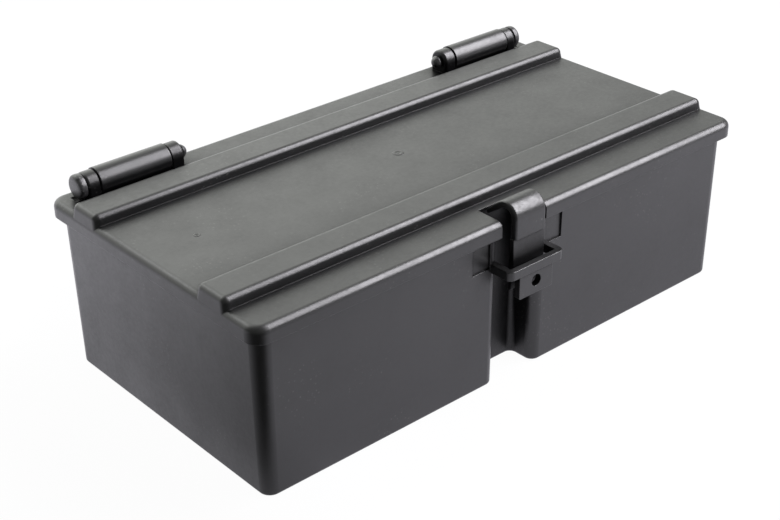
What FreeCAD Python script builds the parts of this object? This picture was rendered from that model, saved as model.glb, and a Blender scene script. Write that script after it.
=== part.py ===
"""Plastic tool box for a tractor: a drafted tub with a deep front channel, a
ribbed lid on two pin hinges, and a latch strap that drops through a keeper.

X runs along the length, the latch side faces -Y, Z is up. The origin lies in
the middle of the box, on the plane that it stands on. All sizes are in mm.
"""
import os
import math

import FreeCAD
import Part

V = FreeCAD.Vector

# Lid
lid_length = 304.0
lid_depth = 160.0
lid_top = 88.0            # top of the flat panel above the floor plane
lid_corner = 7.5         # plan radius of the lid corners
panel = 2.9               # thickness of the flat panel
skirt_drop = 8.0          # height of the skirt, from the panel's top down
skirt_wall = 2.7
rim_round = 3.4           # rounding where the panel turns into the skirt

# Raised ribs that run over the whole length of the lid
rib_offset = 48.8         # middle of a rib from the middle of the lid
rib_half = 9.3            # half width of a rib at its top
rib_height = 5.2          # above the panel
rib_slope = 1.1           # how far a rib's long side leans over its height
rib_end = 0.1             # set-back of a rib's end from the skirt at its foot
rib_end_slope = 0.9       # how far a rib's end leans from its foot to its top
rib_wall = 2.6            # the ribs are hollow beneath
rib_round = 3.0

# Tub
seat_gap = 0.3            # between the rim of the tub and the closed lid
skirt_gap = 0.8           # between the skirt and the tub, all round
tub_wall = 2.5
tub_floor = 2.8
tub_corner = 7.0          # plan radius of the corners at the rim
draft = 0.8               # degrees, all walls lean in towards the floor
foot_round = 1.6          # rounding round the bottom
floor_round = 3.0         # rounding inside, between floor and walls

# Channel in the front wall, behind the latch
channel_half = 11.6
channel_depth = 14.5
channel_nose = 6.0        # rounding where the front wall turns in
channel_root = 2.0        # rounding at the back of the channel

# Hinges: a long knuckle on the tub between two short ones on the lid
knuckle_radius = 6.1      # of the lid's short knuckles
long_radius = 6.6         # of the tub's long knuckle
hinge_back = 10.2         # pivot axis from the lid's rear edge
hinge_rise = 5.8          # pivot axis above the panel
hinge_side = 13.2         # from the lid's end to the outer knuckle
inner_knuckle = 6.8       # lengths of the three knuckles, from the middle out
long_knuckle = 38.7
outer_knuckle = 6.1
knuckle_gap = 0.8         # between neighbouring knuckles
knuckle_round = 1.4
bracket_drop = 26.0       # how far the long knuckle's plate runs down the wall
web_drop = 5.0            # the same for the web on the inside
web_front = 2.0           # how far the web starts in front of the axis
pocket_gap = 0.8          # round the long knuckle in the lid

# Hinge pins, held by the lid's knuckles, turning in the tub's knuckle
pin_radius = 2.7
pin_hold = 0.02           # radial play in the lid
pin_run = 0.08            # radial play in the tub
head_radius = 6.0
head_length = 4.2
head_round = 1.5
head_seat = 0.2           # between the head and the outer knuckle
head_gap = 0.5            # between the head and the groove that it lies in
head_room = 0.8           # the groove is longer than the head by this
nub_radius = 3.5
nub_length = 4.3
nub_seat = 0.15           # between the nub's shoulder and the inner knuckle
nub_gap = 0.6             # between the nub and the groove it lies in
nub_round = 1.3

# Swing of the rear strip of the lid over the low rear wall
swing_gap = 0.6
lip_wall = 2.0            # lip under the rear strip, inside the rear wall
lip_overlap = 3.0         # how far the lip reaches below the rear wall's top
lip_gap = 0.8             # between the lip and the rear wall
lip_end = 1.5             # between the lip's ends and the hinges

# Keeper, a flat loop on the front wall, with a tab for a padlock
keeper_half = 17.6
keeper_top = 66.5
keeper_height = 4.4
keeper_reach = 12.8       # from the front wall to the front of the loop
keeper_bar = 4.1          # thickness of the front bar
keeper_arm = 3.4          # thickness of each arm
keeper_corner = 3.0
keeper_lead = 1.0         # bevel on the inner top edge of the bar
tab_half = 10.7
tab_back = 0.7            # set-back of the tab from the front of the loop
tab_drop = 12.0           # below the loop
tab_wall = 3.2
tab_corner = 0.8
lock_radius = 3.0         # padlock hole
lock_drop = 5.4           # centre of the hole below the loop

# Shallow recesses in the front wall, on both sides of the latch
recess_deep = 0.7
recess_half = 28.8        # outer end from the middle
recess_gap = 0.3          # between the recess and the keeper
recess_bottom = 64.2
recess_hidden = 2.0       # how far the recess runs up behind the skirt

# Gap in the front of the lid for the strap
gap_half = 14.1
gap_depth = 16.0          # from the front of the lid

# Latch strap
strap_half = 9.5
strap_wall = 3.6
strap_proud = 4.0         # front of the strap before the skirt
strap_crown = 7.5         # top of the bend above the panel
strap_bend = 7.5          # outer radius of the bend
strap_edge = 1.0          # rounding along the strap's outer edges
flex_gap = 0.3            # between the strap's root and the lid
flex_half = 1.3           # half thickness of the root
shoulder_z = 78.5         # below it the strap is a little wider and thinner
shoulder_half = 9.9
shoulder_step = 1.0
tongue_taper = 1.2        # the tongue thins by this towards its end
tongue_start = 63.0
tongue_end = 52.0
tongue_tip = 0.6          # bevel at the end


def on_front(y_from_front, half_depth):
    """Y of a point that lies y_from_front behind a front at half_depth."""
    return y_from_front - half_depth


# Sizes that follow from the ones above
lid_half_x = lid_length / 2
lid_half_y = lid_depth / 2
under = lid_top - panel                       # underside of the panel
skirt_low = lid_top - skirt_drop
tub_rim = under - seat_gap
tub_half_x = lid_half_x - skirt_wall - skirt_gap
tub_half_y = lid_half_y - skirt_wall - skirt_gap
lean = math.tan(math.radians(draft))
hinge_y = lid_half_y - hinge_back
hinge_z = lid_top + hinge_rise
swing = math.hypot(lid_half_y - hinge_y, hinge_z - under)
rear_rim = hinge_z - swing - swing_gap        # top of the rear wall
relief_y = hinge_y - math.sqrt(swing ** 2 - (hinge_z - tub_rim) ** 2) - swing_gap
hinge_end = lid_half_x - hinge_side
outer_start = hinge_end - outer_knuckle
long_start = outer_start - knuckle_gap - long_knuckle
knuckle_start = long_start - knuckle_gap - inner_knuckle
rib_top = lid_top + rib_height
wall_y = tub_half_y - (tub_rim - keeper_top) * lean   # front wall at the keeper
bar_front = -wall_y - keeper_reach
bar_back = bar_front + keeper_bar
loop_low = keeper_top - keeper_height
lock_z = loop_low - lock_drop
strap_front = -lid_half_y - strap_proud
root_y = -lid_half_y + gap_depth - flex_gap - flex_half
root_z = lid_top - flex_half


def box(x0, x1, y0, y1, z0, z1):
    """A box between two corners."""
    return Part.makeBox(x1 - x0, y1 - y0, z1 - z0, V(x0, y0, z0))


def rod(radius, x0, x1):
    """A round bar on the hinge axis, from x0 to x1."""
    return Part.makeCylinder(radius, x1 - x0, V(x0, hinge_y, hinge_z), V(1, 0, 0))


def mirror_x(shape):
    """The same shape on the other side of the middle plane."""
    return shape.mirror(V(0, 0, 0), V(1, 0, 0))


def rounded_wire(points, z):
    """A closed wire through (x, y, radius) corners at height z, each rounded
    by an arc that touches both of its sides."""
    count = len(points)
    starts, mids, ends = [], [], []
    for i in range(count):
        px, py, radius = points[i]
        ax, ay, _ = points[i - 1]
        bx, by, _ = points[(i + 1) % count]
        corner = V(px, py, z)
        back = V(ax, ay, z).sub(corner)
        back.normalize()
        ahead = V(bx, by, z).sub(corner)
        ahead.normalize()
        half = back.getAngle(ahead) / 2
        reach = radius / math.tan(half)
        middle = back.add(ahead)
        middle.normalize()
        centre = corner.add(middle * (radius / math.sin(half)))
        starts.append(corner.add(back * reach))
        mids.append(centre.sub(middle * radius))
        ends.append(corner.add(ahead * reach))
    edges = []
    for i in range(count):
        edges.append(Part.Arc(starts[i], mids[i], ends[i]).toShape())
        edges.append(Part.makeLine(ends[i], starts[(i + 1) % count]))
    return Part.Wire(edges)


def tub_outline(inset, z):
    """Plan of the tub, drawn in by inset from its outline at the rim."""
    hx = tub_half_x - inset
    hy = tub_half_y - inset
    ch = channel_half + inset
    back = on_front(channel_depth, tub_half_y) + inset
    corner = tub_corner - inset
    nose = channel_nose - inset
    root = channel_root + inset
    return rounded_wire([
        (hx, hy, corner), (-hx, hy, corner), (-hx, -hy, corner),
        (-ch, -hy, nose), (-ch, back, root),
        (ch, back, root), (ch, -hy, nose),
        (hx, -hy, corner)], z)


def tub_inset(z):
    """How far the drafted outline is drawn in at height z."""
    return (tub_rim - z) * lean


def low_edges(shape, z):
    """The edges of a shape that lie in the plane at height z."""
    found = []
    for edge in shape.Edges:
        box_ = edge.BoundBox
        if abs(box_.ZMin - z) < 1e-4 and abs(box_.ZMax - z) < 1e-4:
            found.append(edge)
    return found


def plan_slab(half_x, half_y, radius, z0, z1):
    """A slab with rounded corners."""
    wire = rounded_wire([(half_x, half_y, radius), (-half_x, half_y, radius),
                         (-half_x, -half_y, radius), (half_x, -half_y, radius)], z0)
    return Part.Face(wire).extrude(V(0, 0, z1 - z0))


def tub_outside():
    """The tub as a full block, before it is hollowed out."""
    return Part.makeLoft([tub_outline(tub_inset(0), 0), tub_outline(0, tub_rim)],
                         True, True)


def make_keeper():
    """The loop on the front wall with its padlock tab and bevelled mouth. The
    ends of its arms are cut to the drafted wall that they stand on."""
    inside = -tub_half_y + tub_inset(loop_low) + tub_wall * 0.6
    wire = rounded_wire([
        (keeper_half, inside, 0.4), (-keeper_half, inside, 0.4),
        (-keeper_half, bar_front, keeper_corner),
        (keeper_half, bar_front, keeper_corner)], loop_low)
    loop = Part.Face(wire).extrude(V(0, 0, keeper_height))
    slot_half = keeper_half - keeper_arm
    slot = box(-slot_half, slot_half, bar_back, 0, loop_low - 1, keeper_top + 1)
    loop = loop.cut(slot)
    low = V(-slot_half, bar_back, keeper_top - keeper_lead)
    mouth = Part.makePolygon([low, V(-slot_half, bar_back, keeper_top),
                              V(-slot_half, bar_back - keeper_lead, keeper_top), low])
    loop = loop.cut(Part.Face(mouth).extrude(V(2 * slot_half, 0, 0)))
    low_z = loop_low - tab_drop
    tab_y = bar_front + tab_back
    outline = Part.Face(Part.makePolygon([
        V(-tab_half, tab_y, loop_low + 1), V(-tab_half, tab_y, low_z),
        V(tab_half, tab_y, low_z), V(tab_half, tab_y, loop_low + 1),
        V(-tab_half, tab_y, loop_low + 1)]))
    tab = outline.extrude(V(0, tab_wall, 0))
    upright = []
    for edge in tab.Edges:
        bounds = edge.BoundBox
        if abs(bounds.ZMax - low_z) < 1e-4 and bounds.YMax - bounds.YMin > tab_wall / 2:
            upright.append(edge)
    tab = tab.makeFillet(tab_corner, upright)
    hole = Part.makeCylinder(lock_radius, tab_wall + 2, V(0, bar_front - 1, lock_z),
                             V(0, 1, 0))
    return loop.fuse(tab).cut([hole, tub_outside()]).removeSplitter()


def make_bracket():
    """The tub's half of one hinge, on the +X side: a long knuckle on a plate
    that runs down the rear wall and thins out towards its foot."""
    x0 = long_start
    x1 = long_start + long_knuckle
    back = hinge_y + long_radius
    foot = rear_rim - bracket_drop
    wall_at_foot = tub_half_y - tub_inset(foot) - tub_wall / 2
    inner = rear_rim - web_drop
    wall_inside = tub_half_y - tub_inset(inner) - tub_wall
    web_top = hinge_z - math.sqrt(long_radius ** 2 - web_front ** 2)
    plate = Part.Face(Part.makePolygon([
        V(x0, back, hinge_z), V(x0, back, rear_rim - bracket_drop * 0.35),
        V(x0, wall_at_foot, foot), V(x0, wall_at_foot, inner),
        V(x0, wall_inside, inner),
        V(x0, hinge_y - web_front, web_top), V(x0, hinge_y, hinge_z),
        V(x0, back, hinge_z)])).extrude(V(x1 - x0, 0, 0))
    return plate.fuse(rod(long_radius, x0, x1))


def make_tub():
    """Walls, floor, front channel, hinge brackets and the recesses by the latch."""
    block = tub_outside()
    outside = block.makeFillet(foot_round, low_edges(block, 0))
    over = tub_rim + 2
    inside = Part.makeLoft([
        tub_outline(tub_inset(tub_floor) + tub_wall, tub_floor),
        tub_outline(tub_inset(over) + tub_wall, over)], True, True)
    inside = inside.makeFillet(floor_round, low_edges(inside, tub_floor))
    tub = outside.cut(inside)
    tub = tub.cut(box(-lid_length, lid_length, relief_y, lid_depth, rear_rim, over))
    bracket = make_bracket()
    tub = tub.fuse([bracket, mirror_x(bracket)])
    recess = box(keeper_half + recess_gap, recess_half, -tub_half_y - 1,
                 -tub_half_y + tub_inset(recess_bottom) + recess_deep,
                 recess_bottom, skirt_low + recess_hidden)
    bore = rod(pin_radius + pin_run, long_start - 1, long_start + long_knuckle + 1)
    return tub.cut([bore, mirror_x(bore), recess, mirror_x(recess)]).removeSplitter()


def rib_body(shrink, foot_z, top_z):
    """One raised rib at the rear, or with shrink the hollow beneath it."""
    wires = []
    start_z = lid_top - rim_round
    for z in (foot_z, top_z):
        share = (rib_top - z) / rib_height
        risen = (z - start_z) / (rib_top - start_z)
        hx = lid_half_x - rib_end - rib_end_slope * risen - shrink
        hy = rib_half + rib_slope * share - shrink
        wires.append(Part.makePolygon([
            V(hx, rib_offset + hy, z), V(-hx, rib_offset + hy, z),
            V(-hx, rib_offset - hy, z), V(hx, rib_offset - hy, z),
            V(hx, rib_offset + hy, z)]))
    return Part.makeLoft(wires, True, True)


def rib_outside():
    """A rib with its top edges and its four corners rounded."""
    body = rib_body(0, lid_top - rim_round, rib_top)
    chosen = []
    for edge in body.Edges:
        bounds = edge.BoundBox
        if bounds.ZMax > rib_top - 1e-4:
            chosen.append(edge)
    return body.makeFillet(rib_round, chosen)


def lid_knuckle(x0, x1, outer_face):
    """A short knuckle of the lid, round on top and square down to the panel."""
    block = box(x0, x1, hinge_y - knuckle_radius, hinge_y + knuckle_radius,
                under, hinge_z)
    knuckle = rod(knuckle_radius, x0, x1).fuse(block).removeSplitter()
    rims = []
    for edge in knuckle.Edges:
        bounds = edge.BoundBox
        flat = bounds.XMax - bounds.XMin < 1e-4
        if flat and abs(bounds.XMin - outer_face) < 1e-4 and bounds.ZMax > hinge_z + 1:
            rims.append(edge)
    return knuckle.makeFillet(knuckle_round, rims)


def hinge_half_of_lid():
    """What one hinge on the +X side adds to the lid and takes from it."""
    inner = lid_knuckle(knuckle_start, knuckle_start + inner_knuckle, knuckle_start)
    outer = lid_knuckle(outer_start, hinge_end, hinge_end)
    pocket = box(knuckle_start + inner_knuckle, outer_start,
                 hinge_y - long_radius - pocket_gap, lid_half_y + 1,
                 skirt_low - 10, hinge_z)
    head_groove = rod(head_radius + head_gap, hinge_end,
                      hinge_end + head_seat + head_length + head_room)
    bore = rod(pin_radius + pin_hold, knuckle_start - 1, hinge_end + 1)
    nub_groove = rod(nub_radius + nub_gap, knuckle_start - nub_seat - nub_length - nub_gap,
                     knuckle_start)
    return [inner, outer], [pocket, head_groove, nub_groove, bore]


def make_lid():
    """Panel, skirt, two hollow ribs, knuckles and the strap's gap."""
    body = plan_slab(lid_half_x, lid_half_y, lid_corner, skirt_low, lid_top)
    top_edges = low_edges(body, lid_top)
    body = body.makeFillet(rim_round, top_edges)
    rear_rib = rib_outside()
    front_rib = rear_rib.mirror(V(0, 0, 0), V(0, 1, 0))
    body = body.fuse([rear_rib, front_rib])
    hollow = plan_slab(lid_half_x - skirt_wall, lid_half_y - skirt_wall,
                       lid_corner - skirt_wall, skirt_low - 1, under)
    rear_cut = box(-tub_half_x - skirt_gap, tub_half_x + skirt_gap, relief_y,
                   lid_half_y + 1, skirt_low - 1, under)
    rear_hollow = rib_body(rib_wall, under - 1, rib_top - rib_wall)
    front_hollow = rear_hollow.mirror(V(0, 0, 0), V(0, 1, 0))
    body = body.cut([hollow, rear_cut, rear_hollow, front_hollow])
    adds, cuts = hinge_half_of_lid()
    body = body.fuse(adds + [mirror_x(s) for s in adds])
    strap_gap = box(-gap_half, gap_half, -lid_half_y - 1, -lid_half_y + gap_depth,
                    skirt_low - 1, rib_top)
    body = body.cut(cuts + [mirror_x(s) for s in cuts] + [strap_gap])
    return body.removeSplitter()


def make_lip():
    """The lip under the lid's rear strip, between the hinges. It hangs inside
    the low rear wall and closes the slot above it."""
    back = tub_half_y - tub_wall - lip_gap - tub_inset(rear_rim)
    half = knuckle_start - lip_end
    lip = box(-half, half, back - lip_wall, back, rear_rim - lip_overlap, under)
    return lip.makeChamfer(lip_wall * 0.3, low_edges(lip, rear_rim - lip_overlap))


def arc_through(centre_y, centre_z, radius, start, end):
    """An arc in the plane of the strap's side, angles in degrees from +Y."""
    points = []
    for angle in (start, (start + end) / 2, end):
        a = math.radians(angle)
        points.append(V(0, centre_y + radius * math.cos(a),
                        centre_z + radius * math.sin(a)))
    return Part.Arc(*points).toShape(), points[0], points[2]


def make_strap():
    """The strap: a round root, a rise to the bend, a straight front, and a
    tongue with a wider shoulder that thins towards its end."""
    bend_y = strap_front + strap_bend
    bend_z = lid_top + strap_crown - strap_bend
    inner_bend = strap_bend - strap_wall
    dy = root_y - bend_y
    dz = root_z - bend_z
    reach = math.hypot(dy, dz)
    toward = math.degrees(math.atan2(dz, dy))
    side = math.degrees(math.acos((strap_bend - flex_half) / reach))
    start = toward + side
    outer, o0, o1 = arc_through(bend_y, bend_z, strap_bend, start, 180)
    inside = math.degrees(math.acos((inner_bend + flex_half) / reach))
    start_in = toward + inside
    inner, i0, i1 = arc_through(bend_y, bend_z, inner_bend, start_in, 180)
    up = math.radians(start)
    root_up = V(0, root_y + flex_half * math.cos(up), root_z + flex_half * math.sin(up))
    dn = math.radians(start_in + 180)
    root_dn = V(0, root_y + flex_half * math.cos(dn), root_z + flex_half * math.sin(dn))
    root_mid = V(0, root_y + flex_half, root_z)
    low_out = V(0, strap_front, shoulder_z)
    low_in = V(0, strap_front + strap_wall, shoulder_z)
    wire = Part.Wire([
        Part.makeLine(root_up, o0), outer, Part.makeLine(o1, low_out),
        Part.makeLine(low_out, low_in), Part.makeLine(low_in, i1), inner,
        Part.makeLine(i0, root_dn), Part.Arc(root_dn, root_mid, root_up).toShape()])
    upper = Part.Face(wire).extrude(V(2 * strap_half, 0, 0))
    upper.translate(V(-strap_half, 0, 0))
    rims = []
    for edge in upper.Edges:
        bounds = edge.BoundBox
        along = bounds.XMax - bounds.XMin < 1e-4
        middle = edge.valueAt((edge.FirstParameter + edge.LastParameter) / 2)
        front_run = abs(middle.y - strap_front) < 1e-4
        far = math.hypot(middle.y - bend_y, middle.z - bend_z)
        on_bend = abs(far - strap_bend) < 1e-3
        rising = middle.z > root_z and middle.y > bend_y and far > strap_bend + 1e-3
        line_up = rising and middle.z > (o0.z + root_up.z) / 2 - 1e-3
        if along and (front_run or on_bend or line_up):
            rims.append(edge)
    upper = upper.makeFillet(strap_edge, rims)
    face_y = strap_front + shoulder_step
    back_y = strap_front + strap_wall
    tip_y = face_y + tongue_taper
    side_wire = Part.makePolygon([
        V(0, face_y, shoulder_z), V(0, face_y, tongue_start),
        V(0, tip_y, tongue_end + tongue_tip), V(0, tip_y + tongue_tip, tongue_end),
        V(0, back_y, tongue_end), V(0, back_y, shoulder_z), V(0, face_y, shoulder_z)])
    tongue = Part.Face(side_wire).extrude(V(2 * shoulder_half, 0, 0))
    tongue.translate(V(-shoulder_half, 0, 0))
    hole = Part.makeCylinder(lock_radius, strap_wall + 4, V(0, strap_front - 1, lock_z),
                             V(0, 1, 0))
    corners = []
    for edge in tongue.Edges:
        bounds = edge.BoundBox
        runs_back = bounds.XMax - bounds.XMin < 1e-4 and bounds.ZMax - bounds.ZMin < 1e-4
        if runs_back and bounds.ZMax > shoulder_z - 1e-4:
            corners.append(edge)
    tongue = tongue.makeFillet((shoulder_half - strap_half) * 0.95, corners)
    return upper.fuse(tongue).cut(hole).removeSplitter()


def make_pin():
    """The hinge pin on the +X side: domed head outside, shaft, and a nub that
    holds it behind the inner knuckle."""
    head_in = hinge_end + head_seat
    head_out = head_in + head_length
    neck = knuckle_start - nub_seat
    tip = neck - nub_length
    hr = head_radius - head_round
    nr = nub_radius - nub_round
    quarter = math.sqrt(0.5)

    def at(x, r):
        return V(x, hinge_y, hinge_z + r)

    edges = [
        Part.makeLine(at(tip, 0), at(tip, nr)),
        Part.Arc(at(tip, nr), at(tip + nub_round * (1 - quarter), nr + nub_round * quarter),
                 at(tip + nub_round, nub_radius)).toShape(),
        Part.makeLine(at(tip + nub_round, nub_radius), at(neck - 0.6, nub_radius)),
        Part.makeLine(at(neck - 0.6, nub_radius), at(neck, pin_radius)),
        Part.makeLine(at(neck, pin_radius), at(head_in, pin_radius)),
        Part.makeLine(at(head_in, pin_radius), at(head_in, head_radius)),
        Part.makeLine(at(head_in, head_radius), at(head_out - head_round, head_radius)),
        Part.Arc(at(head_out - head_round, head_radius),
                 at(head_out - head_round * (1 - quarter), hr + head_round * quarter),
                 at(head_out, hr)).toShape(),
        Part.makeLine(at(head_out, hr), at(head_out, 0)),
        Part.makeLine(at(head_out, 0), at(tip, 0))]
    face = Part.Face(Part.Wire(edges))
    return face.revolve(V(0, hinge_y, hinge_z), V(1, 0, 0), 360)


def save(name, shape):
    """Write one solid as its own STEP file and say how large it is."""
    solids = shape.Solids
    solid = solids[0] if len(solids) == 1 else shape
    bounds = solid.BoundBox
    print("%-16s solids %d valid %s  x %.1f..%.1f  y %.1f..%.1f  z %.1f..%.1f  vol %.0f" % (
        name, len(solids), solid.isValid(), bounds.XMin, bounds.XMax, bounds.YMin,
        bounds.YMax, bounds.ZMin, bounds.ZMax, solid.Volume))
    solid.exportStep("parts/%s.step" % name)


os.makedirs("parts", exist_ok=True)
right_pin = make_pin()
save("tub", make_tub())
save("keeper", make_keeper())
save("lid", make_lid())
save("lid_lip", make_lip())
save("latch_strap", make_strap())
save("hinge_pin_right", right_pin)
save("hinge_pin_left", mirror_x(right_pin))
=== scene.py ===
# %% [markdown]
# # A plastic tool box for a tractor
# A long, low box of black plastic: two raised ribs on its lid, two pin hinges at the back and
# a strap that latches at the front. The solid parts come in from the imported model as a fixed
# frame, and nothing here moves or resizes them. This script gives them their skin, turns the
# pieces that ask for a closer look, and sets up the studio and the camera of the photograph.

import math

import bpy
import numpy as np
from mathutils import Matrix, Vector


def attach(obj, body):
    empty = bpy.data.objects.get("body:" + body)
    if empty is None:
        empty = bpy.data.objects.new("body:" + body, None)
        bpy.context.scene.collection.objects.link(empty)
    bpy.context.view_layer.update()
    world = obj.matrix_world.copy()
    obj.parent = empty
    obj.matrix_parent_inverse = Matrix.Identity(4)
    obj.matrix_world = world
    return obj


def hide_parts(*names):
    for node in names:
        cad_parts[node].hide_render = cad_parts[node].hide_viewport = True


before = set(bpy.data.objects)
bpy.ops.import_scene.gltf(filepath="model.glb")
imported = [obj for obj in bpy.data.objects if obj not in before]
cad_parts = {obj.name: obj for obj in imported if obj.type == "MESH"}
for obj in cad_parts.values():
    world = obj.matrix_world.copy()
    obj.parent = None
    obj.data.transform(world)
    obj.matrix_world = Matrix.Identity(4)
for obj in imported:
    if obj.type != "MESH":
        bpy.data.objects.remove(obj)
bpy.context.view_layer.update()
MM = 0.001
print("pieces of the frame:", ", ".join(sorted(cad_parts)))


# %% [markdown]
# ## Node helpers
# A material is a tree of nodes. Each kind of node could be made and set by hand wherever it is
# needed, but that buries the idea under wiring. A short function for each kind makes the node,
# sets it and hands back its output, so that a pattern reads like a sum.

# %% Node helpers
def link(tree, out_socket, in_socket):
    """Join an output to an input."""
    tree.links.new(out_socket, in_socket)


def noise(tree, coords, scale, detail=2.0, rough=0.5):
    """A noise from 0 to 1 with `scale` cells to a metre."""
    node = tree.nodes.new("ShaderNodeTexNoise")
    node.inputs["Scale"].default_value = scale
    node.inputs["Detail"].default_value = detail
    node.inputs["Roughness"].default_value = rough
    link(tree, coords, node.inputs["Vector"])
    return node.outputs["Fac"]


def ramp(tree, fac, low, high, at=(0.0, 1.0)):
    """Spread the stretch `at` of a factor over low..high, and hold it flat beyond."""
    node = tree.nodes.new("ShaderNodeMapRange")
    node.inputs["From Min"].default_value = at[0]
    node.inputs["From Max"].default_value = at[1]
    node.inputs["To Min"].default_value = low
    node.inputs["To Max"].default_value = high
    link(tree, fac, node.inputs["Value"])
    return node.outputs["Result"]


def math_node(tree, operation, first, second):
    """One sum, product or the like of two linked factors."""
    node = tree.nodes.new("ShaderNodeMath")
    node.operation = operation
    link(tree, first, node.inputs[0])
    link(tree, second, node.inputs[1])
    return node.outputs["Value"]


def mix_colour(tree, factor, first, second):
    """first * (1 - factor) + second * factor. A colour is a linked socket or a triple."""
    node = tree.nodes.new("ShaderNodeMix")
    node.data_type = "RGBA"
    link(tree, factor, node.inputs["Factor"])
    for colour, socket in ((first, node.inputs["A"]), (second, node.inputs["B"])):
        if isinstance(colour, tuple):
            socket.default_value = (*colour, 1)
        else:
            link(tree, colour, socket)
    return node.outputs["Result"]


def bump(tree, height, depth, normal):
    """Tilt a normal by the slope of a height factor that stands for `depth` metres."""
    node = tree.nodes.new("ShaderNodeBump")
    node.inputs["Distance"].default_value = depth
    node.inputs["Strength"].default_value = 1.0
    link(tree, height, node.inputs["Height"])
    link(tree, normal, node.inputs["Normal"])
    return node.outputs["Normal"]


# %% [markdown]
# ## Black plastic: colour
# The box is moulded in satin black plastic. One flat colour would look dead, because a real
# moulding drifts a little in tone and dust settles on it. A painted image could show that, but
# it would stretch and leave seams. Noise worked out from the piece's own Object coordinates has
# neither, and it stays on the piece when the lid swings.

# %% Colour
SPECK_CELLS = 420.0
SPECK_SIZE = 0.22
SPECK_COLOUR = (0.090, 0.088, 0.084)
GROUP_CELLS = 35.0
GROUP_SPAN = (0.52, 0.62)
CLOUD_SPAN = (0.3, 0.7)
DARK_TINT = (1.0, 1.0, 1.07)
LIGHT_TINT = (1.0, 0.99, 1.03)


def specks(tree, coords):
    """Dust: 1 near the point of each Voronoi cell, 0 beyond SPECK_SIZE of a cell, times a
    noise that is high in a few places only, so that the dots come in loose groups."""
    cells = tree.nodes.new("ShaderNodeTexVoronoi")
    cells.inputs["Scale"].default_value = SPECK_CELLS
    link(tree, coords, cells.inputs["Vector"])
    dots = ramp(tree, cells.outputs["Distance"], 1.0, 0.0, at=(SPECK_SIZE * 0.6, SPECK_SIZE))
    groups = ramp(tree, noise(tree, coords, GROUP_CELLS, detail=3.0), 0.0, 1.0, at=GROUP_SPAN)
    return math_node(tree, "MULTIPLY", dots, groups)


def skin_colour(tree, coords, tone, cell, spread, dust):
    """A black that drifts from tone * (1 - spread) to tone * (1 + spread) over clouds, `cell`
    of them to a metre, with a trace of blue. Specks are mixed in as strongly as `dust`
    says."""
    dark = tuple(tone * (1 - spread) * tint for tint in DARK_TINT)
    light = tuple(tone * (1 + spread) * tint for tint in LIGHT_TINT)
    clouds = ramp(tree, noise(tree, coords, cell, detail=4.0, rough=0.6), 0.0, 1.0, at=CLOUD_SPAN)
    black = mix_colour(tree, clouds, dark, light)
    return mix_colour(tree, ramp(tree, specks(tree, coords), 0.0, dust), black, SPECK_COLOUR)


# %% [markdown]
# ## Black plastic: shine
# Nearly all the light that black plastic sends back is a reflection. In the photograph it dies
# away in corners, at the foot of the ribs and in the channel of the front, where the studio is
# hidden. Rays alone keep such corners too bright, because a blurred mirror image still finds
# some light. So the strength of the reflection is tied to how open the spot is. Handling has
# also left duller and glossier patches, which a slow and a fine noise make together.

# %% Shine
CREVICE = 22.0
CREVICE_SAMPLES = 4
OPEN_SPAN = (0.60, 0.99)
SHINE_SHUT, SHINE_OPEN = 0.03, 0.5
SHINE_SHADED = 0.08
SLOW_CELLS, FINE_CELLS = 60.0, 420.0
PATCH_SPAN = (0.55, 1.45)


def shine(tree, coords, shade_heights):
    """SHINE_OPEN where a spot is open, down to SHINE_SHUT where the piece's own faces close
    it off within CREVICE mm. Between the two heights of the last argument (m), where there
    are any, it also fades downwards to a small share of itself: a painted shade, darker
    towards the bottom."""
    near = tree.nodes.new("ShaderNodeAmbientOcclusion")
    near.samples = CREVICE_SAMPLES
    near.only_local = True
    near.inputs["Distance"].default_value = CREVICE * MM
    openness = ramp(tree, near.outputs["AO"], 0.0, 1.0, at=OPEN_SPAN)
    if shade_heights is not None:
        split = tree.nodes.new("ShaderNodeSeparateXYZ")
        link(tree, coords, split.inputs["Vector"])
        # Painted shade: the shine fades out towards the bottom, where the strap goes down into
        # the keeper.
        painted_shade = ramp(tree, split.outputs["Z"], SHINE_SHADED, 1.0, at=shade_heights)
        openness = math_node(tree, "MULTIPLY", openness, painted_shade)
    return ramp(tree, openness, SHINE_SHUT, SHINE_OPEN)


def patchy_roughness(tree, coords, rough, patch):
    """rough - patch to rough + patch, along the sum of a slow and a fine noise."""
    slow = noise(tree, coords, SLOW_CELLS, detail=5.0, rough=0.65)
    fine = noise(tree, coords, FINE_CELLS, detail=3.0, rough=0.7)
    both = math_node(tree, "ADD", slow, fine)
    return ramp(tree, both, rough - patch, rough + patch, at=PATCH_SPAN)


# %% [markdown]
# ## Black plastic: surface
# Moulded edges are never quite sharp, flat walls sink in by a hair, and the mould's steel
# leaves a fine grain. All three are too small to model, yet they catch light. A Bevel node
# rounds what the light sees of an edge, and two bumps on top of it make the wave and the grain.

# %% Surface
BEVEL_SAMPLES = 6
WAVE_CELLS, WAVE_DEPTH = 18.0, 0.6
GRAIN_CELLS, GRAIN_DEPTH = 2600.0, 0.04


def skin_normal(tree, coords, edge, wave, grain):
    """Edges rounded over `edge` mm, then a slow wave and a grain, each as deep as its depth
    in mm times the strength given."""
    bevel = tree.nodes.new("ShaderNodeBevel")
    bevel.samples = BEVEL_SAMPLES
    bevel.inputs["Radius"].default_value = edge * MM
    hills = noise(tree, coords, WAVE_CELLS, detail=1.0, rough=0.4)
    pores = noise(tree, coords, GRAIN_CELLS, detail=3.0, rough=0.6)
    waved = bump(tree, hills, WAVE_DEPTH * MM * wave, bevel.outputs["Normal"])
    return bump(tree, pores, GRAIN_DEPTH * MM * grain, waved)
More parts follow.
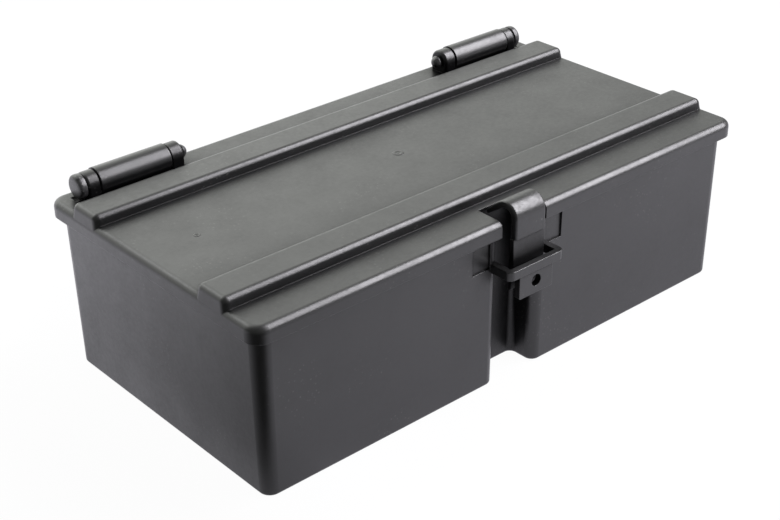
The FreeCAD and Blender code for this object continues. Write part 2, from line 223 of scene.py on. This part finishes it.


# %% [markdown]
# ## Black plastic: the finished kinds
# The same plastic serves every piece, in three states. The box and its lid are clean and even.
# The strap is bent and worn by fingers, so it is mottled; below its shoulder its shine
# fades out, a painted shade where it goes down into the keeper. The pins have been hammered
# in, and their ends are scuffed to a greyer, dustier skin.

# %% Finished kinds
def plastic(name, tone, rough, grain=1.0, wave=1.0, edge=0.6, dust=0.25, patch=0.09,
            cell=22.0, spread=0.2, shade_heights=None):
    """One plastic, put together from colour, shine, roughness and surface. The numbers mean
    what they mean in those four functions."""
    mat = bpy.data.materials.new(name)
    mat.use_nodes = True
    tree = mat.node_tree
    tree.nodes.clear()
    coords = tree.nodes.new("ShaderNodeTexCoord").outputs["Object"]
    shader = tree.nodes.new("ShaderNodeBsdfPrincipled")
    out = tree.nodes.new("ShaderNodeOutputMaterial")
    link(tree, skin_colour(tree, coords, tone, cell, spread, dust), shader.inputs["Base Color"])
    link(tree, shine(tree, coords, shade_heights), shader.inputs["Specular IOR Level"])
    link(tree, patchy_roughness(tree, coords, rough, patch), shader.inputs["Roughness"])
    link(tree, skin_normal(tree, coords, edge, wave, grain), shader.inputs["Normal"])
    shader.inputs["IOR"].default_value = 1.5
    link(tree, shader.outputs["BSDF"], out.inputs["Surface"])
    print("%-14s tone %.4f, roughness %.2f" % (name, tone, rough))
    return mat


body_plastic = plastic("body_plastic", 0.0028, 0.37, grain=0.35, wave=1.2)
gate_plastic = plastic("gate_plastic", 0.0028, 0.37, grain=0.35, edge=0.05)
# The strap's shine fades out below its shoulder, from 79 mm down to 67 mm: a painted shade where
# it goes down into the keeper.
strap_plastic = plastic("strap_plastic", 0.0035, 0.37, grain=0.8, wave=2.0, dust=0.5,
                        patch=0.18, shade_heights=(0.067, 0.079))
pin_plastic = plastic("pin_plastic", 0.020, 0.38, grain=1.5, wave=0.5, dust=0.7, patch=0.20,
                      cell=420.0, spread=0.75)


# %% [markdown]
# ## Dressing the frame
# The frame's meshes are flat facets. They could be drawn as they are, but a bend would then
# show its strips, so every face is smooth and only real corners are kept sharp.

# %% Dressing the frame
CORNER = math.radians(28)
looks = {"latch_strap": strap_plastic,
         "hinge_pin_right": pin_plastic,
         "hinge_pin_left": pin_plastic}


def smooth(mesh, corner):
    """Shade every face smooth, but keep edges sharp where faces meet at more than `corner`."""
    mesh.polygons.foreach_set("use_smooth", np.ones(len(mesh.polygons), dtype=bool))
    mesh.set_sharp_from_angle(angle=corner)


for name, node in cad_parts.items():
    node.data.materials.clear()
    node.data.materials.append(looks.get(name, body_plastic))
    smooth(node.data, CORNER)
    print("%-16s %s" % (name, node.data.materials[0].name))


# %% [markdown]
# ## Turned pieces
# The pins and the moulding marks are round, like something turned on a lathe. A primitive would
# give a plain cylinder, and a sculpted mesh would be uneven, so each is a profile spun about
# its axis. The profile is a list of points, a distance along the axis and a radius. A smooth
# curve runs through them, so that a few numbers describe a whole dome.

# %% Turning a profile
THINNEST = 0.02


def smooth_path(points, steps=6):
    """A Catmull-Rom curve through the points. With t from 0 to 1 between p1 and p2 it is half
    of 2 p1 + (p2 - p0) t + (2 p0 - 5 p1 + 4 p2 - p3) t^2 + (3 p1 - p0 - 3 p2 + p3) t^3.
    Beyond either end the path is taken to go straight on."""
    points = np.array(points, dtype=float)
    padded = np.vstack([2 * points[0] - points[1], points, 2 * points[-1] - points[-2]])
    spans = len(points) - 1
    p0, p1, p2, p3 = (padded[k:k + spans, None] for k in range(4))
    t = np.linspace(0, 1, steps, endpoint=False)[None, :, None]
    curve = 0.5 * (2 * p1 + (p2 - p0) * t + (2 * p0 - 5 * p1 + 4 * p2 - p3) * t ** 2
                   + (3 * p1 - p0 - 3 * p2 + p3) * t ** 3)
    return np.vstack([curve.reshape(-1, 2), points[-1:]])


def lathe_faces(rows, steps):
    """Faces of `rows` rings with `steps` vertices each, as whole arrays of vertex numbers: a
    fan from the vertex after the rings, a wall of quads, and a fan to the last vertex. Seen
    from outside each face runs anticlockwise."""
    here = np.arange(steps)
    there = np.roll(here, -1)
    row = np.arange(rows - 1)[:, None] * steps
    wall = np.stack([row + here, row + there, row + steps + there, row + steps + here], axis=-1)
    start = np.full(steps, rows * steps)
    last_ring = (rows - 1) * steps
    return (np.stack([start, there, here], axis=-1), wall.reshape(-1, 4),
            np.stack([start + 1, last_ring + here, last_ring + there], axis=-1))


def volume_mm3(points, triangles):
    """A sixth of the sum of a . (b x c) over the triangles. It is positive where the faces
    of a closed mesh point outwards."""
    a, b, c = (points[triangles[:, k]] for k in range(3))
    return np.einsum("ij,ij->", a, np.cross(b, c)) / 6


def turned(name, profile, centre, axis, material, corner=math.pi, steps=72):
    """A closed surface of revolution, in mm. A profile point (d, r) becomes the ring
    centre + d * axis + r * (cos u * side + sin u * up), with u once round. The first and the
    last point have radius 0 and are single vertices, and no ring has a radius under THINNEST.
    Edges that turn by more than `corner` stay sharp."""
    centre = np.array(centre, dtype=float)
    axis = np.array(axis, dtype=float)
    side = np.array((0.0, 1.0, 0.0))
    up = np.cross(axis, side)
    u = np.linspace(0, 2 * math.pi, steps, endpoint=False)[:, None]
    spokes = np.cos(u) * side + np.sin(u) * up
    distance = profile[1:-1, :1, None]
    radius = np.maximum(profile[1:-1, 1:, None], THINNEST)
    rings = centre + distance * axis + radius * spokes
    ends = centre + profile[[0, -1], :1] * axis
    points = np.vstack([rings.reshape(-1, 3), ends])
    start, wall, end = lathe_faces(len(rings), steps)

    mesh = bpy.data.meshes.new(name)
    mesh.from_pydata((points * MM).tolist(), [], start.tolist() + wall.tolist() + end.tolist())
    mesh.update()
    mesh.materials.append(material)
    smooth(mesh, corner)
    piece = bpy.data.objects.new(name, mesh)
    bpy.context.scene.collection.objects.link(piece)
    triangles = np.vstack([start, wall[:, [0, 1, 2]], wall[:, [0, 2, 3]], end])
    print("%-16s %5d faces, %6.1f mm3"
          % (name, len(mesh.polygons), volume_mm3(points, triangles)))
    return piece


# %% [markdown]
# ## Hinge pins
# Each hinge turns on a pin that is pushed in from the side. Only its ends show: outside, a
# soft, slightly flat dome with a rolled rim, and inside, a stubby nub that has snapped through
# the knuckle. Two stacked cylinders would look machined, so one turned profile runs from the
# nub's tip through the shaft to the dome. Its place and length come from the frame's own pin,
# and the round tip stops TIP_SHORT (mm) short of the flat one there.

# %% Hinge pins
def box_mm(name):
    """Lowest and highest corner of a piece of the frame, in mm, to a hundredth."""
    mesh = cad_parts[name].data
    flat = np.empty(len(mesh.vertices) * 3, dtype=np.float32)
    mesh.vertices.foreach_get("co", flat)
    points = flat.reshape(-1, 3).astype(float) / MM
    return np.round(points.min(axis=0), 2), np.round(points.max(axis=0), 2)


TIP_SHORT = 0.05
PIN_LOW, PIN_HIGH = box_mm("hinge_pin_right")
TIP, HEAD_OUT = PIN_LOW[0] + TIP_SHORT, PIN_HIGH[0]
PIN_AXIS = (0.0, *np.round((PIN_LOW + PIN_HIGH)[1:] / 2, 1))
HEAD_LONG = 4.2
NUB_LONG = 4.25
SHAFT = 2.7
HEAD = 6.0
NUB = 3.5
PIN_CORNER = math.radians(50)


def pin_profile():
    """From the nub's tip, through the shaft, to the head's dome. A distance is the x of the
    right-hand pin."""
    neck = TIP + NUB_LONG
    head_in = HEAD_OUT - HEAD_LONG
    nub = smooth_path([(TIP, 0), (TIP + 0.08, 0.9), (TIP + 0.6, 1.9), (TIP + 1.5, 2.75),
                       (TIP + 2.5, NUB - 0.1), (TIP + 3.1, NUB - 0.15), (TIP + 3.6, SHAFT + 0.1),
                       (neck, SHAFT)])
    shaft = [(neck + 0.01, SHAFT), (head_in - 0.01, SHAFT)]
    head = smooth_path([(head_in, SHAFT), (head_in + 0.02, HEAD - 0.5),
                        (head_in + 0.35, HEAD - 0.05), (HEAD_OUT - 1.7, HEAD),
                        (HEAD_OUT - 0.7, HEAD - 0.6), (HEAD_OUT - 0.22, HEAD - 1.6),
                        (HEAD_OUT - 0.06, HEAD - 3.2), (HEAD_OUT, 0)])
    return np.vstack([nub, shaft, head])


print("pin axis at y %.2f, z %.2f mm, from x %.2f to %.2f mm"
      % (PIN_AXIS[1], PIN_AXIS[2], TIP, HEAD_OUT))
for side_name, way in (("right", 1), ("left", -1)):
    pin = turned("pin_" + side_name, pin_profile(), PIN_AXIS, (way, 0, 0), pin_plastic,
                 corner=PIN_CORNER)
    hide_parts("hinge_pin_" + side_name)
    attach(pin, "lid")


# %% [markdown]
# ## Moulding marks
# Where the melt came in, the lid keeps a small raised ring with a nipped-off middle. One lies
# in the middle of the panel and one near its left end. A bump could draw them, but the middle
# one is wide enough to show its height against the light, so both are turned.

# %% Moulding marks
PANEL_Z = 88.0
ROOT = 0.4
MARKS = {"middle": {"place": (-0.2, 6.3), "radius": 3.0, "height": 0.20},
         "left": {"place": (-121.6, 2.8), "radius": 1.8, "height": 0.14}}


def mark_profile(radius, height):
    """A ring that stands `height` above the panel, with a dip and a nipple in it. It reaches
    ROOT into the panel, where its flat back closes it."""
    back = [(-ROOT, 0), (-ROOT, radius * 0.98)]
    ring = smooth_path([(0.0, radius), (height * 0.7, radius * 0.82), (height, radius * 0.62),
                        (height * 0.5, radius * 0.42), (0.02, radius * 0.28),
                        (0.12, radius * 0.14), (0.14, 0)], steps=4)
    return np.vstack([back, ring])


for label, size in MARKS.items():
    mark = turned("gate_mark_" + label, mark_profile(size["radius"], size["height"]),
                  (*size["place"], PANEL_Z), (0, 0, 1), gate_plastic)
    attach(mark, "lid")


# %% [markdown]
# ## Studio: the sheet
# The box stands on white paper. Black plastic shows its shape by what it mirrors, and what the
# walls mirror is this sheet. A real studio lays dark flags and grey cards around the object to
# draw its edges. Modelled cards would be seen by the camera, so they are areas of the sheet
# that show in reflections and hardly to the camera: a dark flag before the near corner, a grey
# card in front, and a painted shadow of the box on the strip before the long wall.

# %% The sheet
SHEET_HALF = 3.0
SHEET_GLOW = 2.0
SEEN_WHITE = 0.97
PAPER_CELLS = 3.0
PAPER_LOW = (0.79, 0.78, 0.84)
PAPER_HIGH = (0.83, 0.82, 0.88)
# The strip before the front wall is darkened to a painted shadow of the box.
PAPER_PAINTED_SHADOW = (0.60, 0.59, 0.64)
PAPER_CARD = (0.40, 0.40, 0.42)
PAPER_FLAG = (0.055, 0.055, 0.055)
SHADOW_X, SHADOW_Y = (-0.16, -0.12), (-0.20, -0.10)
CARD_X, CARD_Y = (-0.02, 0.12), (-0.245, -0.185)
FLAG_X, FLAG_Y = (-0.175, -0.115), (-0.104, 0.176)


def corner_area(tree, x, y, x_fade, y_fade, low, high):
    """A soft-edged quarter of the sheet: the product of a fade along x and one along y, each
    going from `low` to `high` over its stretch in metres."""
    return math_node(tree, "MULTIPLY", ramp(tree, x, low, high, at=x_fade),
                     ramp(tree, y, low, high, at=y_fade))


def sheet_colour(tree):
    """Slightly clouded paper, with the painted shadow strip, the card and the flag laid over it.
    """
    coords = tree.nodes.new("ShaderNodeTexCoord").outputs["Object"]
    split = tree.nodes.new("ShaderNodeSeparateXYZ")
    link(tree, coords, split.inputs["Vector"])
    x, y = split.outputs["X"], split.outputs["Y"]
    # Painted shadow of the box: the sheet darkens in a strip before its long front wall.
    near = corner_area(tree, x, y, SHADOW_X, SHADOW_Y, 0.0, 1.0)
    card = corner_area(tree, x, y, CARD_X, CARD_Y, 1.0, 0.0)
    flag = corner_area(tree, x, y, FLAG_X, FLAG_Y, 1.0, 0.0)
    paper = mix_colour(tree, noise(tree, coords, PAPER_CELLS), PAPER_LOW, PAPER_HIGH)
    for area, colour in ((near, PAPER_PAINTED_SHADOW), (card, PAPER_CARD), (flag, PAPER_FLAG)):
        paper = mix_colour(tree, area, paper, colour)
    return paper


def paper_material():
    """Matt paper, mixed with a glow. The share of the glow is 1 for reflections, which see
    the patterned sheet SHEET_GLOW bright, SEEN_WHITE for the camera, which sees white with a
    trace of shadow, and 0 for all other light."""
    mat = bpy.data.materials.new("floor_paper")
    mat.use_nodes = True
    tree = mat.node_tree
    matt = tree.nodes["Principled BSDF"]
    sheet = sheet_colour(tree)
    link(tree, sheet, matt.inputs["Base Color"])
    matt.inputs["Roughness"].default_value = 0.9
    matt.inputs["Specular IOR Level"].default_value = 0.1
    path = tree.nodes.new("ShaderNodeLightPath").outputs
    mirrored = math_node(tree, "MAXIMUM", path["Is Glossy Ray"], path["Is Transmission Ray"])
    glow = tree.nodes.new("ShaderNodeEmission")
    link(tree, mix_colour(tree, mirrored, (1.0, 1.0, 1.0), sheet), glow.inputs["Color"])
    link(tree, ramp(tree, mirrored, 1.0, SHEET_GLOW), glow.inputs["Strength"])
    seen = ramp(tree, path["Is Camera Ray"], 0.0, SEEN_WHITE)
    mix = tree.nodes.new("ShaderNodeMixShader")
    link(tree, math_node(tree, "MAXIMUM", mirrored, seen), mix.inputs["Fac"])
    link(tree, matt.outputs["BSDF"], mix.inputs[1])
    link(tree, glow.outputs["Emission"], mix.inputs[2])
    link(tree, mix.outputs["Shader"], tree.nodes["Material Output"].inputs["Surface"])
    return mat


def pale_floor():
    """The sheet: one square, SHEET_HALF metres to each side of the box."""
    corners = SHEET_HALF * np.array([(-1, -1, 0), (1, -1, 0), (1, 1, 0), (-1, 1, 0)])
    mesh = bpy.data.meshes.new("floor")
    mesh.from_pydata(corners.tolist(), [], [(0, 1, 2, 3)])
    mesh.materials.append(paper_material())
    floor = bpy.data.objects.new("floor", mesh)
    bpy.context.scene.collection.objects.link(floor)
    print("floor of %.0f by %.0f m" % (2 * SHEET_HALF, 2 * SHEET_HALF))


pale_floor()

# %% [markdown]
# ## Studio: the sky
# The lid mirrors what hangs above the back of the table. A single lamp there would leave a hot
# spot on it. A sky that brightens smoothly towards the rear gives the even grey of the
# photograph. The camera sees plain white instead of it.

# %% The sky
SKY_COLOUR = (0.98, 1.0, 0.96, 1)
SKY_SPAN = (0.5, 0.95)


def sky(low, high, toward):
    """A background whose strength goes from `low` to `high` as the cosine of the angle to
    the direction `toward` passes through SKY_SPAN."""
    world = bpy.data.worlds.new("studio")
    bpy.context.scene.world = world
    world.use_nodes = True
    tree = world.node_tree
    tree.nodes.clear()
    way = tree.nodes.new("ShaderNodeTexCoord").outputs["Generated"]
    cosine = tree.nodes.new("ShaderNodeVectorMath")
    cosine.operation = "DOT_PRODUCT"
    cosine.inputs[1].default_value = Vector(toward).normalized()
    link(tree, way, cosine.inputs[0])
    lit = tree.nodes.new("ShaderNodeBackground")
    lit.inputs["Color"].default_value = SKY_COLOUR
    link(tree, ramp(tree, cosine.outputs["Value"], low, high, at=SKY_SPAN),
         lit.inputs["Strength"])
    seen = tree.nodes.new("ShaderNodeBackground")
    seen.inputs["Color"].default_value = (1, 1, 1, 1)
    path = tree.nodes.new("ShaderNodeLightPath")
    mix = tree.nodes.new("ShaderNodeMixShader")
    link(tree, path.outputs["Is Camera Ray"], mix.inputs["Fac"])
    link(tree, lit.outputs["Background"], mix.inputs[1])
    link(tree, seen.outputs["Background"], mix.inputs[2])
    out = tree.nodes.new("ShaderNodeOutputWorld")
    link(tree, mix.outputs["Shader"], out.inputs["Surface"])
    print("sky from %.2f to %.2f" % (low, high))


sky(low=0.38, high=2.80, toward=(0.06, 0.90, 0.42))

# %% [markdown]
# ## Studio: the lights
# The bright lines along the ribs, the lid's edge and the crown of the strap are the image of
# one softbox above the front right. A small lamp would make them thin and hard. This one is
# long and slanted, so that its image stays on all these edges. A weak second light lifts the
# hinges from behind.

# %% The lights
BOX_MIDDLE = (0.0, 0.0, 0.05)


def softbox(name, place, size, power, colour=(1.0, 1.0, 1.0), along=(0.0, 0.0, 1.0)):
    """A rectangular light at `place` that looks at the middle of the box, with its second
    side as near to the direction `along` as it can be."""
    light = bpy.data.lights.new(name, "AREA")
    light.color = colour
    light.shape = "RECTANGLE"
    light.size, light.size_y = size
    light.energy = power
    lamp = bpy.data.objects.new(name, light)
    back = (Vector(place) - Vector(BOX_MIDDLE)).normalized()
    first = Vector(along).cross(back).normalized()
    facing = Matrix((first, back.cross(first), back)).transposed()
    lamp.matrix_world = Matrix.Translation(place) @ facing.to_4x4()
    bpy.context.scene.collection.objects.link(lamp)
    print("%-10s %.1f W" % (name, power))


softbox("key", place=(1.52, -1.05, 1.63), size=(1.0, 2.4), power=162,
        colour=(0.97, 0.95, 1.0), along=(0.0, -0.84, -0.54))
softbox("rear_left", place=(-0.35, 0.85, 0.95), size=(0.6, 0.4), power=2.2)

# %% [markdown]
# ## Camera
# The camera's place, direction and lens were worked out from the box's straight edges in the
# photograph. A camera set by eye would let the lid's length and depth drift apart.

# %% Camera
LENS = 70.4
SENSOR = 36
PLACE = Vector((-445.25, -501.85, 404.90)) * MM
RIGHT = Vector((0.75221, -0.65881, -0.01235))
AHEAD = Vector((0.57092, 0.66098, -0.48699))


def photo_camera():
    """A camera at PLACE whose picture runs along RIGHT and looks along AHEAD. What is up in
    the picture is RIGHT x AHEAD."""
    data = bpy.data.cameras.new("camera")
    data.lens = LENS
    data.sensor_width = SENSOR
    camera = bpy.data.objects.new("camera", data)
    facing = Matrix((RIGHT, RIGHT.cross(AHEAD), -AHEAD)).transposed()
    camera.matrix_world = Matrix.Translation(PLACE) @ facing.to_4x4()
    bpy.context.scene.collection.objects.link(camera)
    bpy.context.scene.camera = camera
    print("camera %.0f mm from the origin, lens %.1f mm" % (PLACE.length / MM, LENS))


photo_camera()
bpy.context.scene.view_settings.view_transform = "Standard"
